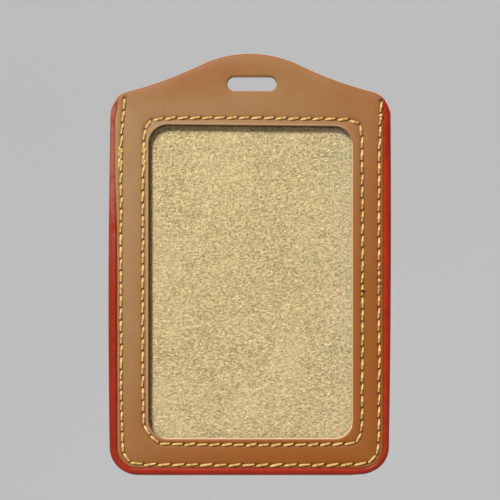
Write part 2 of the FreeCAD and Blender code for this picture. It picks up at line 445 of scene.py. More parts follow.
def thread_material(colours):
    """Waxed two-ply thread, its plies running round it aslant, burnt dark where an end was melted."""
    material, maker, where = new_material("waxed_thread")
    turn = maker.attribute("ply_turn")
    plies = maker.number("ShaderNodeMath", {"operation": "SINE"}, {0: turn * PLIES})
    fibres = maker.noise(where, 5200.0, 2.0)
    highlight_patches = maker.noise(where, 480.0, 2.0)
    # painted shade in the grooves between the plies
    colour = maker.blend(plies.within(-1.0, 0.1), shaded(colours.thread, 0.48), rgba(colours.thread))
    # painted highlight, laid in random patches
    colour = maker.blend(highlight_patches.within(0.4, 0.7) * 0.5, colour, THREAD_HIGHLIGHT)
    colour = maker.blend(fibres.within(0.45, 0.75) * 0.3, colour, shaded(colours.thread, 0.6))
    colour = maker.blend(maker.attribute("dive") * 0.8, colour, THREAD_SHADOW)
    colour = maker.blend(maker.attribute("burnt"), colour, THREAD_CHAR)
    relief = maker.bump(plies, 0.09 * MM, 0.9)
    relief = maker.bump(fibres, 0.04 * MM, 0.5, relief)
    finish_material(maker, {
        "Base Color": colour,
        "Roughness": fibres * 0.2 + 0.36,
        "Specular IOR Level": 0.45,
        "Normal": relief,
    })
    return material


def film_material():
    """Clear film: it shows only its gloss and, on its right, a faint green and pink cast, a painted
    reflection of thin-film colours.
    """
    material, maker, where = new_material("clear_film")
    across, height = maker.across_and_up(where)
    right = across.within(0.013, 0.026) * height.within(-0.088, -0.055)
    swirl = maker.noise(where, 95.0, 2.0, 0.5, 1.2)
    # painted reflection: thin-film green and pink on the window's right
    tint = maker.blend(swirl.within(0.42, 0.58), FILM_GREEN, FILM_PINK)
    waves = maker.noise(where, 60.0, 2.0)
    relief = maker.bump(waves, 0.6 * MM, 0.25)
    cast = maker.add("ShaderNodeBsdfPrincipled", None, {
        "Base Color": tint,
        "Alpha": right * 0.032 + 0.005,
        "Roughness": 0.2,
        "Specular IOR Level": 0.0,
    })
    gloss = maker.add("ShaderNodeBsdfGlossy", None, {"Roughness": 0.12, "Normal": relief})
    facing = {"Blend": 0.5, "Normal": relief}
    slope = maker.number("ShaderNodeLayerWeight", None, facing, output="Facing")
    share = slope ** 4.0 * 0.5 + 0.02
    mixed = maker.add("ShaderNodeMixShader", None, {0: share, 1: cast.outputs[0], 2: gloss.outputs[0]})
    maker.add("ShaderNodeOutputMaterial", None, {"Surface": mixed.outputs[0]})
    return material


def spacer_material():
    """Bonded leather board, brown and fibrous."""
    material, maker, where = new_material("bonded_board")
    fibres = maker.noise(where, 1900.0, 5.0, 0.7)
    colour = maker.blend(fibres.within(0.35, 0.7), BOARD_DARK, BOARD_PALE)
    finish_material(maker, {
        "Base Color": colour,
        "Roughness": fibres * 0.2 + 0.7,
        "Normal": maker.bump(fibres, 0.1 * MM, 0.6),
    })
    return material


def backdrop_material(colours):
    """Pale paper, lit evenly from behind so that it has no shadows of its own."""
    material, maker, _ = new_material("backdrop_paper")
    finish_material(maker, {
        "Base Color": shaded(colours.backdrop, 0.12),
        "Roughness": 0.9,
        "Specular IOR Level": 0.0,
        "Emission Color": rgba(colours.backdrop),
        "Emission Strength": 0.815,
    })
    return material


# ---- flat drawing ----

def up(height):
    """Frame Z of a height above the holder's bottom edge."""
    return BOTTOM + height


def eased(share):
    """The same share held between 0 and 1, and levelled off at both."""
    share = np.clip(share, 0.0, 1.0)
    return share * share * (3.0 - 2.0 * share)


def drawn(points):
    """A line of given (across, up) points as an array in the frame."""
    line = np.array(points, float)
    line[:, 1] += BOTTOM
    return line


def arc(centre, radius, start, end, spacing=0.4):
    """Points on an arc. start and end are radians from +X towards +Z."""
    count = max(3, int(abs(end - start) * radius / spacing) + 1)
    turns = np.linspace(start, end, count)
    return np.column_stack([centre[0] + radius * np.cos(turns), centre[1] + radius * np.sin(turns)])


def soften(line, closed, rounds=4):
    """Cuts a line's corners until they are round."""
    for _ in range(rounds):
        ahead = np.roll(line, -1, 0)
        near, far = line * 0.75 + ahead * 0.25, line * 0.25 + ahead * 0.75
        cut = np.stack([near, far], 1).reshape(-1, 2)
        line = cut if closed else np.vstack([line[:1], cut[1:-3], line[-1:]])
    return line


def lengths_along(line):
    steps = np.linalg.norm(np.diff(line, axis=0), axis=1)
    return np.concatenate([[0.0], np.cumsum(steps)])


def even(line, spacing, closed):
    """The same line with evenly spaced points. A closed one doesn't repeat its first point."""
    path = np.vstack([line, line[:1]]) if closed else line
    along = lengths_along(path)
    count = max(4, int(round(along[-1] / spacing)))
    wanted = np.linspace(0.0, along[-1], count + 1)
    spread = np.column_stack([np.interp(wanted, along, path[:, axis]) for axis in (0, 1)])
    return spread[:-1] if closed else spread


def sideways(line, closed):
    """Unit vectors to the left of the way that a line runs."""
    if closed:
        ahead = np.roll(line, -1, 0) - np.roll(line, 1, 0)
    else:
        ahead = np.gradient(line, axis=0)
    ahead /= np.linalg.norm(ahead, axis=1)[:, None]
    return np.column_stack([-ahead[:, 1], ahead[:, 0]])


def rounded_box(half_width, bottom, top, radius, spacing=0.4):
    """Anticlockwise loop about x = 0."""
    right, low, high = half_width - radius, bottom + radius, top - radius
    quarter = math.pi / 2
    return np.vstack([
        arc((right, low), radius, -quarter, 0.0, spacing),
        arc((right, high), radius, 0.0, quarter, spacing),
        arc((-right, high), radius, quarter, 2 * quarter, spacing),
        arc((-right, low), radius, 2 * quarter, 3 * quarter, spacing),
    ])


def top_arcs(sizes):
    """(centre, radius, start, end) of the right half's hump, flank and shoulder."""
    hump_radius, flare_radius = sizes.hump_radius / MM, sizes.flare_radius / MM
    shoulder_radius = sizes.shoulder_radius / MM
    hump = np.array([0.0, TOP - hump_radius])
    shoulder = np.array([HALF_WIDTH - shoulder_radius, TOP - sizes.shoulder_drop / MM])
    to_hump, to_shoulder = hump_radius + flare_radius, shoulder_radius + flare_radius
    distance = np.linalg.norm(shoulder - hump)
    along = (to_hump ** 2 - to_shoulder ** 2 + distance ** 2) / (2 * distance)
    across = math.sqrt(to_hump ** 2 - along ** 2)
    direction = (shoulder - hump) / distance
    flare = hump + direction * along + np.array([-direction[1], direction[0]]) * across
    hump_end = math.atan2(*(flare - hump)[::-1])
    shoulder_start = math.atan2(*(flare - shoulder)[::-1])
    return [
        (hump, hump_radius, math.pi / 2, hump_end),
        (flare, flare_radius, hump_end + math.pi, shoulder_start + math.pi),
        (shoulder, shoulder_radius, shoulder_start, 0.0),
    ]


def leather_outline(sizes):
    """Anticlockwise outline of the cut leather, which stops short of the edge finish."""
    half = HALF_WIDTH - EDGE_WIDTH
    hump, flank, (centre, radius, start, _) = top_arcs(sizes)
    shoulder_end = math.acos((half - centre[0]) / radius)
    corner = sizes.corner_radius / MM - EDGE_WIDTH
    low = BOTTOM + EDGE_WIDTH
    right = np.vstack([
        arc(*hump), arc(*flank), arc(centre, radius, start, shoulder_end),
        arc((half - corner, low + corner), corner, 0.0, -math.pi / 2),
    ])
    straight = np.linspace(centre[1] + radius * math.sin(shoulder_end), low + corner, 160)[1:-1]
    run = np.column_stack([np.full(len(straight), half), straight])
    foot = arc((half - corner, low + corner), corner, 0.0, -math.pi / 2)
    left = np.vstack([right[:-len(foot)], run, foot])[::-1] * (-1.0, 1.0)
    left[:, 0] -= upper_left_spread(left)
    clockwise = np.vstack([right, left[:-1]])
    return clockwise[::-1]


def upper_left_spread(points):
    """How far the leather runs on under the edge finish near the left shoulder."""
    most, start, grown_after, end, gone_within = 0.62, 58.0, 22.0, 93.0, 5.0
    height = points[:, 1] - BOTTOM
    rise = eased((height - start) / grown_after)
    fall = eased((end - height) / gone_within)
    side = points[:, 0] < -(HALF_WIDTH - EDGE_WIDTH) + 0.01
    return most * side * rise * fall


def window_outline(sizes):
    box = rounded_box(sizes.window_width / MM / 2, up(sizes.window_bottom / MM),
                      up(sizes.window_top / MM), sizes.window_radius / MM)
    fall_of_top = 0.010
    box[:, 1] -= np.where(box[:, 1] > up(50.0), box[:, 0] * fall_of_top, 0.0)
    return box + (sizes.window_shift / MM, 0.0)


def slot_outline(sizes):
    half_height = sizes.slot_width / MM / 2
    box = rounded_box(sizes.slot_length / MM / 2, -half_height, half_height, half_height - 0.01, 0.2)
    return box + (sizes.slot_shift / MM, 0.0)


def inside(points, loop):
    """Which points lie inside a loop, by counting its sides to their right."""
    result = np.zeros(len(points), bool)
    ahead = np.roll(loop, -1, 0)
    for (x1, z1), (x2, z2) in zip(loop, ahead):
        if z1 == z2:
            continue
        crosses = (z1 > points[:, 1]) != (z2 > points[:, 1])
        result ^= crosses & (points[:, 0] < x1 + (points[:, 1] - z1) * (x2 - x1) / (z2 - z1))
    return result


def distance_to(points, targets):
    """Distance of each point to the nearest target."""
    tree = KDTree(len(targets))
    for number, (x, z) in enumerate(targets):
        tree.insert((x, 0.0, z), number)
    tree.balance()
    return np.array([tree.find((x, 0.0, z))[2] for x, z in points])


def ripple(points, size, seed):
    """Smooth unevenness between about -1 and 1, with bumps of about this size."""
    chance = np.random.default_rng(seed)
    total = np.zeros(len(points))
    for _ in range(6):
        turn = chance.uniform(0.0, 2 * math.pi)
        phase = chance.uniform(0.0, 2 * math.pi)
        wave = 2 * math.pi / (size * chance.uniform(0.7, 1.6))
        total += np.sin((points[:, 0] * math.cos(turn) + points[:, 1] * math.sin(turn)) * wave + phase)
    return total / 4.0


# ---- sewing lines ----

FINE_STEP = 0.1

def pitch_along(line, sizes, outer):
    """Hole-to-hole distance wanted at each point of a seam line."""
    usual = sizes.stitch_pitch / MM
    pitch = np.full(len(line), usual)
    if outer:
        across, height = line[:, 0], line[:, 1] - BOTTOM
        level_run = 4.2
        pitch[height < level_run] = sizes.long_pitch / MM
        pitch[(across > 30.0) & (np.abs(height - 49.5) < 2.4)] = usual * 0.55
        pitch[(across < 0) & (height < 26.0) & (height > level_run)] = usual * 0.84
    return pitch


def hole_places(points, closed, sizes, outer=False):
    """Needle holes along a given line."""
    line = even(soften(drawn(points), closed), FINE_STEP, closed)
    path = np.vstack([line, line[:1]]) if closed else line
    stitches = np.concatenate([[0.0], np.cumsum(FINE_STEP / pitch_along(path, sizes, outer)[1:])])
    count = int(round(stitches[-1]))
    wanted = np.linspace(0.0, stitches[-1], count + 1)
    holes = np.column_stack([np.interp(wanted, stitches, path[:, axis]) for axis in (0, 1)])
    chance = np.random.default_rng(sizes.sewing_seed + count)
    needle_stray = 0.045
    holes += chance.normal(0.0, needle_stray, holes.shape)
    if closed:
        holes[-1] = holes[0]
    return holes


def seam_lines(sizes, with_window=True):
    """(line, closed, holes) of each seam."""
    seams = [(OUTER_SEAM_LINE, False, True)]
    if with_window:
        seams.append((WINDOW_SEAM_LINE, True, False))
    rows = []
    for points, closed, outer in seams:
        line = even(soften(drawn(points), closed), 0.24, closed)
        rows.append((line, closed, hole_places(points, closed, sizes, outer)))
    return rows


# ---- sheets cut to an outline ----

SEAM_ROWS = (-1.0, -0.72, -0.48, -0.24, 0.0, 0.24, 0.48, 0.72, 1.0)
FAR = 99.0


class FlatMesh:
    """Triangles that fill an outline less its holes, with finer rows along edges and seams."""

    def __init__(self, outline, cutouts, seams=(), spacing=0.8, edge_spacing=0.32, edge_steps=()):
        self.loops = [even(loop, edge_spacing, True) for loop in [outline] + list(cutouts)]
        rows, edges, start = [], [], 0
        for loop in self.loops:
            count = len(loop)
            rows.append(loop)
            edges += [(start + i, start + (i + 1) % count) for i in range(count)]
            start += count
        for number, loop in enumerate(self.loops):
            inward = sideways(loop, True) * (1.0 if number == 0 else -1.0)
            rows += [loop + inward * step for step in edge_steps]
        clear_of_edges = edge_steps[-1] + edge_spacing if edge_steps else spacing * 0.6
        for line, closed, _ in seams:
            normal = sideways(line, closed)
            rows += [line + normal * step for step in SEAM_ROWS]
        low, high = outline.min(0), outline.max(0)
        columns, levels = (np.arange(low[axis], high[axis], spacing) for axis in (0, 1))
        grid = np.column_stack([part.ravel() for part in np.meshgrid(columns, levels)])
        grid = grid[inside(grid, self.loops[0])]
        edge_points = np.vstack(self.loops)
        keep = distance_to(grid, edge_points) > clear_of_edges
        for line, _, _ in seams:
            keep &= distance_to(grid, line) > SEAM_ROWS[-1] + spacing * 0.5
        rows.append(grid[keep])
        points = np.vstack(rows)
        flat = [Vector(point) for point in points]
        made, _, faces, *_ = delaunay_2d_cdt(flat, edges, [], 0, 1e-5)
        self.points = np.array([tuple(point) for point in made])
        self.faces = self.kept(np.array([tuple(face) for face in faces]))
        self.measure(seams)

    def kept(self, faces):
        middle = self.points[faces].mean(1)
        keep = inside(middle, self.loops[0])
        for loop in self.loops[1:]:
            keep &= ~inside(middle, loop)
        faces = faces[keep]
        used = np.unique(faces)
        renumber = np.zeros(len(self.points), int)
        renumber[used] = np.arange(len(used))
        self.points = self.points[used]
        return renumber[faces]

    def measure(self, seams):
        """Distance of each point to the cut edges, the outline, the seams and the needle holes."""
        far = np.full(len(self.points), FAR)
        loops = [even(loop, FINE_STEP, True) for loop in self.loops]
        self.to_outline = distance_to(self.points, loops[0])
        self.to_edge = distance_to(self.points, np.vstack(loops))
        widest = max(loops[1:], key=len)
        self.to_window = distance_to(self.points, widest) if len(loops) > 2 else far
        self.to_seam, self.to_hole = far, far
        if seams:
            lines = [even(line, FINE_STEP, closed) for line, closed, _ in seams]
            self.to_seam = distance_to(self.points, np.vstack(lines))
            self.to_hole = distance_to(self.points, np.vstack([row[2] for row in seams]))

    def upper_left_of_window(self):
        """1 beside the window's top and left edges, 0 beside the other two."""
        if len(self.loops) < 3:
            return np.zeros(len(self.points))
        window = max(self.loops[1:], key=len)
        low, high = window.min(0), window.max(0)
        across, rise = ((self.points - (low + high) / 2) / (high - low) * 2).T
        lead = np.maximum(-across, rise) - np.maximum(across, -rise)
        return np.clip(0.5 + lead * 4.0, 0.0, 1.0)

    def rim_edges(self):
        """Directed edges with a triangle on one side only."""
        sides = np.vstack([self.faces[:, [0, 1]], self.faces[:, [1, 2]], self.faces[:, [2, 0]]])
        seen = {tuple(side) for side in sides.tolist()}
        return [side for side in seen if (side[1], side[0]) not in seen]


def link_object(name, data):
    """New object in the scene."""
    made = bpy.data.objects.new(name, data)
    bpy.context.scene.collection.objects.link(made)
    return made


def mesh_object(name, vertices, faces, material):
    """Mesh object from millimetre vertices."""
    mesh = bpy.data.meshes.new(name)
    mesh.from_pydata((np.asarray(vertices) * MM).tolist(), [], faces)
    mesh.polygons.foreach_set("use_smooth", [True] * len(mesh.polygons))
    mesh.materials.append(material)
    mesh.update()
    return link_object(name, mesh)


def paint(made, **values):
    """Stores one number per vertex under each name, for the materials."""
    for name, numbers in values.items():
        layer = made.data.attributes.new(name, "FLOAT", "POINT")
        layer.data.foreach_set("value", np.asarray(numbers, np.float32))


def sheet_object(name, flat, face_y, back_y, relief, material, facing=-1.0):
    """Closed sheet with a good face at face_y plus relief, which rises out of it, and a plain one."""
    count = len(flat.points)
    good = np.column_stack([flat.points[:, 0], face_y + facing * relief, flat.points[:, 1]])
    plain = np.column_stack([flat.points[:, 0], np.full(count, back_y), flat.points[:, 1]])
    front, back = flat.faces, flat.faces[:, ::-1] + count
    if facing > 0:
        front, back = front[:, ::-1], back[:, ::-1]
    walls = [(a, a + count, b + count, b) if facing < 0 else (b, b + count, a + count, a)
             for a, b in flat.rim_edges()]
    faces = front.tolist() + back.tolist() + walls
    made = mesh_object(name, np.vstack([good, plain]), faces, material)
    upper_left = flat.upper_left_of_window()
    line_width = np.where(flat.points[:, 1] < up(12.5), 0.30, 0.19)
    # painted highlight along the window's lower and right edges in the raw cut-edge colour, and a
    # fainter pale strip a little back from its top and left edges
    edge_highlight_and_strip = (1.0 - upper_left) * near(flat.to_window, line_width, 4)
    edge_highlight_and_strip += 0.40 * upper_left * near(flat.to_window - 0.65, 0.22)
    on_cut = (flat.to_edge < 0.055) & (flat.to_window > 1.0)
    on_good_face = {
        "cut": np.maximum(np.where(on_cut, 1.0, 0.0), edge_highlight_and_strip),
        "rim": near(flat.to_outline, 0.32),
        "groove": near(flat.to_seam, 0.5),
        "hole": near(flat.to_hole, 0.34),
        # painted shade beside the window's top and left edges
        "painted_window_shade": upper_left * near(flat.to_window, 0.38, 4),
    }
    for mark, share in on_good_face.items():
        on_plain_face = np.full(count, 1.0 if mark == "cut" else 0.0)
        paint(made, **{mark: np.concatenate([share, on_plain_face])})
    return made


def near(distance, reach, power=2):
    """1 at no distance, falling away over reach. A higher power falls more sharply."""
    return np.exp(-(distance / reach) ** power)


def sewn_relief(flat, depth, seed):
    """How far a sewn leather face rises at each point: round edges, sunken seams and puffed leather."""
    roll = np.where(flat.to_window < 1.0, 0.75, 0.45)
    into_roll = np.clip(flat.to_edge, 0.0, roll)
    height = -(roll - np.sqrt(roll ** 2 - (roll - into_roll) ** 2))
    height -= 0.12 * np.clip(1.0 - flat.to_outline / 1.3, 0.0, 1.0) ** 2
    height -= depth * near(flat.to_seam, 0.5)
    height -= 2.0 * depth * near(flat.to_hole, 0.36)
    room = np.clip(np.minimum(flat.to_seam, flat.to_edge) / 2.4, 0.0, 1.0)
    puff, unevenness = 0.12, 0.035
    height += puff * eased(room)
    height += unevenness * ripple(flat.points, 17.0, seed) * room
    return height


EDGE_STEPS = (0.06, 0.15, 0.27, 0.42, 0.6, 0.82)


def make_front_leather(sizes, colours):
    """One sheet from the bottom edge to the hump."""
    seams = seam_lines(sizes)
    flat = FlatMesh(leather_outline(sizes), [window_outline(sizes), slot_outline(sizes)], seams,
                    edge_steps=EDGE_STEPS)
    relief = sewn_relief(flat, 0.16, 3)
    tan = leather_material("front_tan_leather", colours, -1)
    piece = sheet_object("front_leather", flat, FRONT_Y, FILM_Y, relief, tan)
    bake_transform(piece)
    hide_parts("front_panel", "front_tab")


def make_back_leather(sizes, colours):
    """Plain back sheet with the underside of the outer seam sunk into it."""
    seams = seam_lines(sizes, with_window=False)
    flat = FlatMesh(leather_outline(sizes), [slot_outline(sizes)], seams, spacing=1.3,
                    edge_steps=EDGE_STEPS)
    relief = sewn_relief(flat, 0.20, 5)
    tan = leather_material("back_tan_leather", colours, 1)
    piece = sheet_object("back_leather", flat, BACK_Y, BACK_LEATHER_Y, relief, tan, facing=1.0)
    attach(piece, "holder")
    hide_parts("back_panel")


def make_lining(sizes, colours):
    """Suede sheet that lines the pocket."""
    flat = FlatMesh(leather_outline(sizes), [slot_outline(sizes)], spacing=0.62, edge_spacing=0.5)
    relief = 0.03 * ripple(flat.points, 24.0, 11) + 0.02 * ripple(flat.points, 3.0, 12) - 0.03
    suede = suede_material(colours)
    piece = sheet_object("suede_lining", flat, LINING_Y, BACK_LEATHER_Y, relief, suede)
    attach(piece, "holder")
    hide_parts("back_lining")
    corners = flat.points[flat.faces]
    legs = corners[:, 1:] - corners[:, :1]
    area = np.abs(legs[:, 0, 0] * legs[:, 1, 1] - legs[:, 0, 1] * legs[:, 1, 0]).sum() / 2


# ---- red edge ----

def tube_faces(rings, around):
    """Four-sided faces between rings of points, one ring after the other."""
    faces = []
    for i in range(rings - 1):
        for j in range(around):
            k = (j + 1) % around
            here, ahead = i * around, (i + 1) * around
            faces.append((here + j, here + k, ahead + k, ahead + j))
    return faces


def bead_swell(path, sizes):
    """How far the hand-laid bead stands out: each side bellies and draws in towards its ends."""
    height = path[:, 1] - BOTTOM
    belly = sizes.bead_belly / MM
    draw_in = 1.4
    left = belly * (1.0 - draw_in * ((height - 42.0) / 45.0) ** 2)
    right = belly * (0.6 - draw_in * ((height - 66.0) / 55.0) ** 2)
    on_sides = np.clip((np.abs(path[:, 0]) - 25.0) / 6.0, 0.0, 1.0)
    return np.where(path[:, 0] < 0, left, right) * on_sides


def make_edge(sizes, colours):
    """Bead of edge finish from shoulder to shoulder, round in section and a little uneven."""
    _, _, (shoulder, radius, _, _) = top_arcs(sizes)
    corner = sizes.corner_radius / MM
    run_out = math.acos((HALF_WIDTH - EDGE_WIDTH - shoulder[0]) / radius) - 0.01
    right = np.vstack([
        arc(shoulder, radius, run_out, 0.0, 0.3),
        arc((HALF_WIDTH - corner, BOTTOM + corner), corner, 0.0, -math.pi / 2, 0.3),
    ])
    left = right[::-1] * (-1.0, 1.0)
    path = even(np.vstack([right, left]), 0.45, False)
    inward = -sideways(path, False)
    along = lengths_along(path)
    reach = HALF_WIDTH - EDGE_WIDTH
    slope = np.maximum(np.abs(inward[:, 0]), 1e-3)
    on_shoulder = path[:, 1] > shoulder[1]
    width = np.where(on_shoulder, (np.abs(path[:, 0]) - reach) / slope, EDGE_WIDTH)
    width = np.clip(width, 0.03, EDGE_WIDTH)
    waver = ripple(np.column_stack([along, along * 0.3]), 9.0, 21)
    lip = np.where(width > 0.6, 0.16 + 0.08 * waver, 0.02) - upper_left_spread(path)
    swell = bead_swell(path, sizes)
    path = path - inward * swell[:, None]
    width = width + np.where(width > 0.6, swell, 0.0)
    half_depth = (BACK_Y - FRONT_Y) / 2
    middle_y = (BACK_Y + FRONT_Y) / 2
    turns = np.linspace(-math.pi / 2, math.pi / 2, 19)
    share = 1.0 - np.cos(turns) ** 0.75
    depth = np.sign(turns) * np.abs(np.sin(turns)) ** 0.8
    rings, inner = [], []
    for place, way, reach_in, over, wobble in zip(path, inward, width, lip, waver):
        across = share * (reach_in + over)
        deep = middle_y + depth * (half_depth + 0.03 * wobble)
        ring = place[None, :] + way[None, :] * across[:, None]
        rings.append(np.column_stack([ring[:, 0], deep, ring[:, 1]]))
        inner.append(np.clip((across - reach_in + 0.28) / 0.35, 0.0, 1.0) * (reach_in > 0.5))
    count, around = len(rings), len(turns)
    faces = [(a, d, c, b) for a, b, c, d in tube_faces(count, around)]
    faces.append(tuple(range(around)))
    faces.append(tuple((count - 1) * around + j for j in reversed(range(around))))
    piece = mesh_object("edge_bead", np.vstack(rings), faces, edge_material(colours))
    paint(piece, inner=np.concatenate(inner))
    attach(piece, "holder")
    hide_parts("edge_paint")


# ---- stitches ----

def stitch_tree():
    """Geometry Nodes: lays one twisted, arched stitch on every edge of a seam line."""
    group = bpy.data.node_groups.new("Stitch Row", "GeometryNodeTree")
    face = group.interface
    face.new_socket("Geometry", in_out="OUTPUT", socket_type="NodeSocketGeometry")
    face.new_socket("Seam", in_out="INPUT", socket_type="NodeSocketGeometry")
    for name in ("Thread Width", "Rise", "Facing", "Slant Across", "Slant Upright", "Overlap"):
        face.new_socket(name, in_out="INPUT", socket_type="NodeSocketFloat")
    face.new_socket("Seed", in_out="INPUT", socket_type="NodeSocketInt")
    face.new_socket("Thread", in_out="INPUT", socket_type="NodeSocketMaterial")
    maker = Tree(group)
    given = maker.add("NodeGroupInput").outputs
    width, rise, facing = (Socket(maker, given[name]) for name in ("Thread Width", "Rise", "Facing"))

    patch = {"Size X": 1.0, "Size Y": 1.0, "Vertices X": 9, "Vertices Y": 11}
    grid = maker.add("GeometryNodeMeshGrid", None, patch)
    place = maker.add("ShaderNodeSeparateXYZ", None, {0: maker.add("GeometryNodeInputPosition")})
    around = (Socket(maker, place.outputs[0]) + 0.5) * (2.0 * math.pi)
    along = Socket(maker, place.outputs[1]) + 0.5
    arch = (along * math.pi).math("SINE").math("MAXIMUM", 0.0)
    swell = arch ** 0.42 * (1.12 - along * 0.38)
    ply_turn = around - along * PLY_TURNS
    lobes = (ply_turn * PLIES).math("COSINE") * 0.09 + 1.0
    radius = width * 0.5 * swell * lobes
    level = rise * (arch ** 0.55) - width * 0.55 * (1.0 - arch ** 0.8)
    height = (level + radius * around.math("SINE") * 0.9) * facing
    sideway = radius * around.math("COSINE") * facing
    tube = maker.add("ShaderNodeCombineXYZ", None, {0: along - 0.5, 1: height, 2: sideway})
    shaped = maker.add("GeometryNodeSetPosition", None, {"Geometry": grid.outputs[0], "Position": tube})
    turned = maker.store(shaped, "ply_turn", ply_turn)
    dived = maker.store(turned, "dive", 1.0 - arch.within(0.25, 0.75))
    closed = maker.add("GeometryNodeMergeByDistance", None,
                       {"Geometry": dived, "Distance": 0.002 * MM})

    ends = maker.add("GeometryNodeInputMeshEdgeVertices")
    run = maker.add("ShaderNodeVectorMath", {"operation": "SUBTRACT"},
                    {0: ends.outputs["Position 2"], 1: ends.outputs["Position 1"]})
    kept = maker.store(given["Seam"], "run", run, "FLOAT_VECTOR", "EDGE")
    points = maker.add("GeometryNodeMeshToPoints", {"mode": "EDGES"}, {0: kept})
    stored = maker.add("GeometryNodeInputNamedAttribute", {"data_type": "FLOAT_VECTOR"}, {"Name": "run"})
    level_run, upright_run = maker.across_and_up(stored.outputs[0])
    length = (level_run * level_run + upright_run * upright_run).math("SQRT")
    levelness = (level_run / length) ** 2.0
    slant = levelness * Socket(maker, given["Slant Across"])
    slant = slant + (1.0 - levelness) * Socket(maker, given["Slant Upright"])
    jitter = maker.add("FunctionNodeRandomValue", {"data_type": "FLOAT"},
                       {"Min": -0.07, "Max": 0.07, "Seed": given["Seed"]})
    wobble = Socket(maker, jitter.outputs[1])
    turn = -(upright_run.math("ARCTAN2", level_run) + slant + wobble)
    spin = maker.add("ShaderNodeCombineXYZ", None, {1: turn})
    rotation = maker.add("FunctionNodeEulerToRotation", None, {0: spin})
    thick = wobble * 1.6 + 1.0
    reach = length * Socket(maker, given["Overlap"])
    size = maker.add("ShaderNodeCombineXYZ", None, {0: reach, 1: thick, 2: thick})
    laid = maker.add("GeometryNodeInstanceOnPoints", None,
                     {"Points": points, "Instance": closed, "Rotation": rotation, "Scale": size})
    real = maker.add("GeometryNodeRealizeInstances", None, {"Geometry": laid})
    smooth = maker.add("GeometryNodeSetShadeSmooth", None, {"Geometry": real})
    finished = maker.add("GeometryNodeSetMaterial", None,
                         {"Geometry": smooth, "Material": given["Thread"]})
    maker.add("NodeGroupOutput", None, {0: finished})
    return group


def seam_mesh(name, chains, surface_y):
    """Object with one edge from each needle hole to the next."""
    vertices, edges = [], []
    for chain in chains:
        start = len(vertices)
        vertices += [(x * MM, surface_y * MM, z * MM) for x, z in chain]
        edges += [(start + i, start + i + 1) for i in range(len(chain) - 1)]
    mesh = bpy.data.meshes.new(name)
    mesh.from_pydata(vertices, edges, [])
    return link_object(name, mesh)


def sew(name, chains, surface_y, sizes, material, facing=-1.0, rise=0.16, flat=1.0, lumps=()):
    """Stitches along chains of needle holes, as one plain mesh in place of the node of that name."""
    host = seam_mesh(name + "_line", chains, surface_y)
    group = stitch_tree()
    modifier = host.modifiers.new("Stitch Row", "NODES")
    modifier.node_group = group
    wanted = {
        "Thread Width": sizes.thread_width * flat,
        "Rise": rise * MM,
        "Facing": facing,
        "Slant Across": sizes.slant_across if facing < 0 else 0.0,
        "Slant Upright": sizes.slant_upright if facing < 0 else 0.0,
        "Overlap": 1.03,
        "Seed": sizes.sewing_seed,
        "Thread": material,
    }
    for item in group.interface.items_tree:
        if item.in_out == "INPUT" and item.name in wanted:
            modifier[item.identifier] = wanted[item.name]
    bpy.context.view_layer.update()
    evaluated = host.evaluated_get(bpy.context.evaluated_depsgraph_get())
    mesh = bpy.data.meshes.new_from_object(evaluated)
    bpy.data.objects.remove(host)
    piece = link_object("stitches_" + name, mesh)
    if not len(mesh.polygons):
        raise RuntimeError("no stitches were laid for " + name)
    for place, size, burnt in lumps:
        add_lump(piece, place, surface_y, size, burnt, material)
    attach(piece, "holder")
    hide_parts(name)


def add_lump(piece, place, surface_y, size, burnt, material):
    """Joins a melted or knotted thread end to a row of stitches."""
    rows, around = 7, 10
    vertices = []
    for i in range(rows + 1):
        tilt = math.pi * i / rows
        for j in range(around):
            turn = 2 * math.pi * j / around
            bulge = 1.0 + 0.22 * math.sin(3 * turn + 2 * tilt) * math.sin(tilt)
            vertices.append((
                place[0] + size[0] * bulge * math.sin(tilt) * math.cos(turn),
                surface_y - size[1] * bulge * math.cos(tilt),
                up(place[1]) + size[2] * bulge * math.sin(tilt) * math.sin(turn),
            ))
    lump = mesh_object("lump", vertices, tube_faces(rows + 1, around), material)
    for mark, share in (("burnt", burnt), ("ply_turn", 0.6), ("dive", 0.0)):
        paint(lump, **{mark: [share] * len(vertices)})
    with bpy.context.temp_override(active_object=piece, selected_editable_objects=[piece, lump]):
        bpy.ops.object.join()


def make_front_stitches(sizes, colours):
    thread = thread_material(colours)
    outer = [hole_places(OUTER_SEAM_LINE, False, sizes, outer=True), drawn(BACK_TACKS[0])]
    window = [hole_places(WINDOW_SEAM_LINE, True, sizes), drawn(BACK_TACKS[1])]
    knots = [(SEWN_KNOT, (0.46, 0.72, 0.62), 0.45), (TOP_KNOT, (0.55, 0.70, 0.45), 0.0)]
    melted = [(MELTED_END, (0.50, 0.72, 0.42), 1.0)]
    sew("outer_seam_thread", outer, FRONT_Y, sizes, thread, lumps=knots)
    sew("window_seam_thread", window, FRONT_Y, sizes, thread, lumps=melted)


def make_hidden_stitches(sizes, colours):
    thread = thread_material(colours)
    outer = [hole_places(OUTER_SEAM_LINE, False, sizes, outer=True)]
    window = [hole_places(WINDOW_SEAM_LINE, True, sizes)]
    sew("outer_seam_bobbin_thread", outer, BACK_Y, sizes, thread, facing=1.0, rise=-0.05, flat=0.85)
    sew("window_seam_bobbin_thread", window, POCKET_Y, sizes, thread, facing=1.0, rise=0.02, flat=0.6)


def finish_node(name, material):
    """Gives a CAD piece that stays as it is its real finish."""
    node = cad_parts[name]
    for place in node.material_slots:
        place.material = material


# ---- stage ----

FRAME_SPAN = 124.3
CENTRE_RISE = 3.65
LENS = 150.0
SENSOR = 36.0


def make_surround(material):
    """Pale shell that only the camera sees: a plain backdrop on every side, and no light is lost."""
    mesh = bpy.data.meshes.new("surround")
    shell = bmesh.new()
    bmesh.ops.create_icosphere(shell, subdivisions=4, radius=3.2)
    shell.to_mesh(mesh)
    shell.free()
    mesh.materials.append(material)
    surround = link_object("surround", mesh)
    for ray in ("diffuse", "glossy", "transmission", "volume_scatter", "shadow"):
        setattr(surround, "visible_" + ray, False)


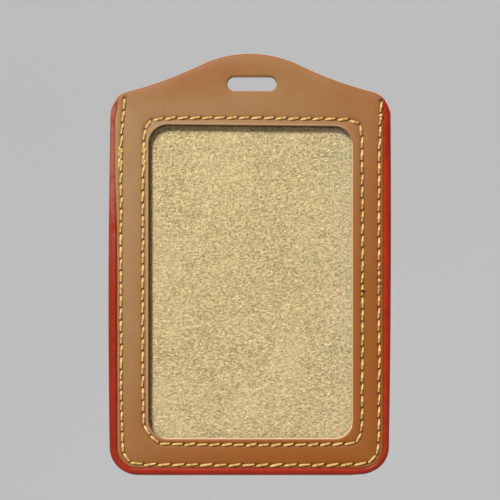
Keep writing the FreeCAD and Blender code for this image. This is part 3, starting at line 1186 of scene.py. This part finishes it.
def make_stage(colours):
    """Pale floor that sweeps up into a backdrop, soft light from the upper left, and the camera."""
    floor, wall, bend, reach = BOTTOM - 130.0, 620.0, 260.0, 2600.0
    profile = [(-reach, floor), (wall - bend, floor)]
    profile += [(wall - bend + bend * math.sin(t), floor + bend - bend * math.cos(t))
                for t in np.linspace(0.1, math.pi / 2, 14)]
    profile.append((wall, floor + reach))
    vertices = [(x, y, z) for y, z in profile for x in (-reach, reach)]
    faces = [(2 * i, 2 * i + 1, 2 * i + 3, 2 * i + 2) for i in range(len(profile) - 1)]
    sweep = mesh_object("backdrop", vertices, faces, backdrop_material(colours))
    make_surround(sweep.data.materials[0])

    middle = Vector((0.0, 0.0, (TOP + BOTTOM) / 2 * MM))
    for name, offset, size, power in (
        ("key", (-0.45, -1.275, 0.90), 0.36, 39.5),
        ("fill", (0.7, -1.3, -0.5), 1.4, 1.7),
        ("side_strip", (-0.95, -0.35, 0.35), 0.5, 0.7),
        ("back_light", (0.25, 0.42, 0.45), 0.7, 7.0),
    ):
        light = bpy.data.lights.new(name, "AREA")
        light.size = size
        light.energy = power
        lamp = link_object(name, light)
        lamp.location = middle + Vector(offset)
        lamp.rotation_euler = (-Vector(offset)).to_track_quat("-Z", "Y").to_euler()

    world = bpy.data.worlds.new("studio")
    world.use_nodes = True
    glow = world.node_tree.nodes["Background"].inputs
    glow[0].default_value = (1.0, 0.90, 0.76, 1.0)
    glow[1].default_value = 0.11
    bpy.context.scene.world = world

    lens = bpy.data.cameras.new("camera")
    lens.lens = LENS
    lens.sensor_width = SENSOR
    lens.clip_start = 0.01
    camera = link_object("camera", lens)
    away = FRAME_SPAN * MM * LENS / SENSOR
    camera.location = (0.0, FRONT_Y * MM - away, middle.z + CENTRE_RISE * MM)
    camera.rotation_euler = (math.pi / 2, 0.0, 0.0)
    bpy.context.scene.camera = camera
    bpy.context.scene.view_settings.view_transform = "Standard"


# ---- operators, panel and registration ----

class HolderOperator:
    """What every operator of this add-on shares."""
    bl_options = {"REGISTER", "UNDO"}

    def run(self, context, make):
        make(context.scene.holder_sizes, context.scene.holder_colours)
        return {"FINISHED"}


class HOLDER_OT_front_leather(HolderOperator, bpy.types.Operator):
    """Build the front leather with its window and slot"""
    bl_idname = "holder.front_leather"
    bl_label = "Front Leather"

    def execute(self, context):
        return self.run(context, make_front_leather)


class HOLDER_OT_back_leather(HolderOperator, bpy.types.Operator):
    """Build the back leather"""
    bl_idname = "holder.back_leather"
    bl_label = "Back Leather"

    def execute(self, context):
        return self.run(context, make_back_leather)


class HOLDER_OT_lining(HolderOperator, bpy.types.Operator):
    """Build the suede lining"""
    bl_idname = "holder.lining"
    bl_label = "Suede Lining"

    def execute(self, context):
        return self.run(context, make_lining)


class HOLDER_OT_film_and_spacer(HolderOperator, bpy.types.Operator):
    """Finish the clear film and the pocket spacer"""
    bl_idname = "holder.film_and_spacer"
    bl_label = "Film and Spacer"

    def execute(self, context):
        finish_node("clear_window", film_material())
        finish_node("pocket_spacer", spacer_material())
        return {"FINISHED"}


class HOLDER_OT_edge(HolderOperator, bpy.types.Operator):
    """Run the red edge finish round the sides and bottom"""
    bl_idname = "holder.edge"
    bl_label = "Red Edge"

    def execute(self, context):
        return self.run(context, make_edge)


class HOLDER_OT_front_stitches(HolderOperator, bpy.types.Operator):
    """Sew the stitches that show on the front"""
    bl_idname = "holder.front_stitches"
    bl_label = "Front Stitches"

    def execute(self, context):
        return self.run(context, make_front_stitches)


class HOLDER_OT_hidden_stitches(HolderOperator, bpy.types.Operator):
    """Sew the undersides of both seams"""
    bl_idname = "holder.hidden_stitches"
    bl_label = "Bobbin Stitches"

    def execute(self, context):
        return self.run(context, make_hidden_stitches)


class HOLDER_OT_stage(HolderOperator, bpy.types.Operator):
    """Set up the backdrop, lights and camera"""
    bl_idname = "holder.stage"
    bl_label = "Stage"

    def execute(self, context):
        make_stage(context.scene.holder_colours)
        return {"FINISHED"}


OPERATORS = (
    HOLDER_OT_front_leather, HOLDER_OT_back_leather, HOLDER_OT_lining, HOLDER_OT_film_and_spacer,
    HOLDER_OT_edge, HOLDER_OT_front_stitches, HOLDER_OT_hidden_stitches, HOLDER_OT_stage,
)


class HOLDER_PT_panel(bpy.types.Panel):
    """Lists the holder's pieces"""
    bl_label = "Card Holder"
    bl_idname = "HOLDER_PT_panel"
    bl_space_type = "VIEW_3D"
    bl_region_type = "UI"
    bl_category = "Card Holder"

    def draw(self, context):
        for operator in OPERATORS:
            self.layout.operator(operator.bl_idname)
        for group in (context.scene.holder_sizes, context.scene.holder_colours):
            for name in group.bl_rna.properties.keys():
                if name not in ("rna_type", "name"):
                    self.layout.prop(group, name)


CLASSES = (HolderSizes, HolderColours) + OPERATORS + (HOLDER_PT_panel,)


def register():
    for one in CLASSES:
        bpy.utils.register_class(one)
    bpy.types.Scene.holder_sizes = PointerProperty(type=HolderSizes)
    bpy.types.Scene.holder_colours = PointerProperty(type=HolderColours)


def unregister():
    del bpy.types.Scene.holder_colours
    del bpy.types.Scene.holder_sizes
    for one in reversed(CLASSES):
        bpy.utils.unregister_class(one)


def main():
    register()
    for operator in OPERATORS:
        family, name = operator.bl_idname.split(".")
        getattr(getattr(bpy.ops, family), name)()


if __name__ == "__main__":
    main()
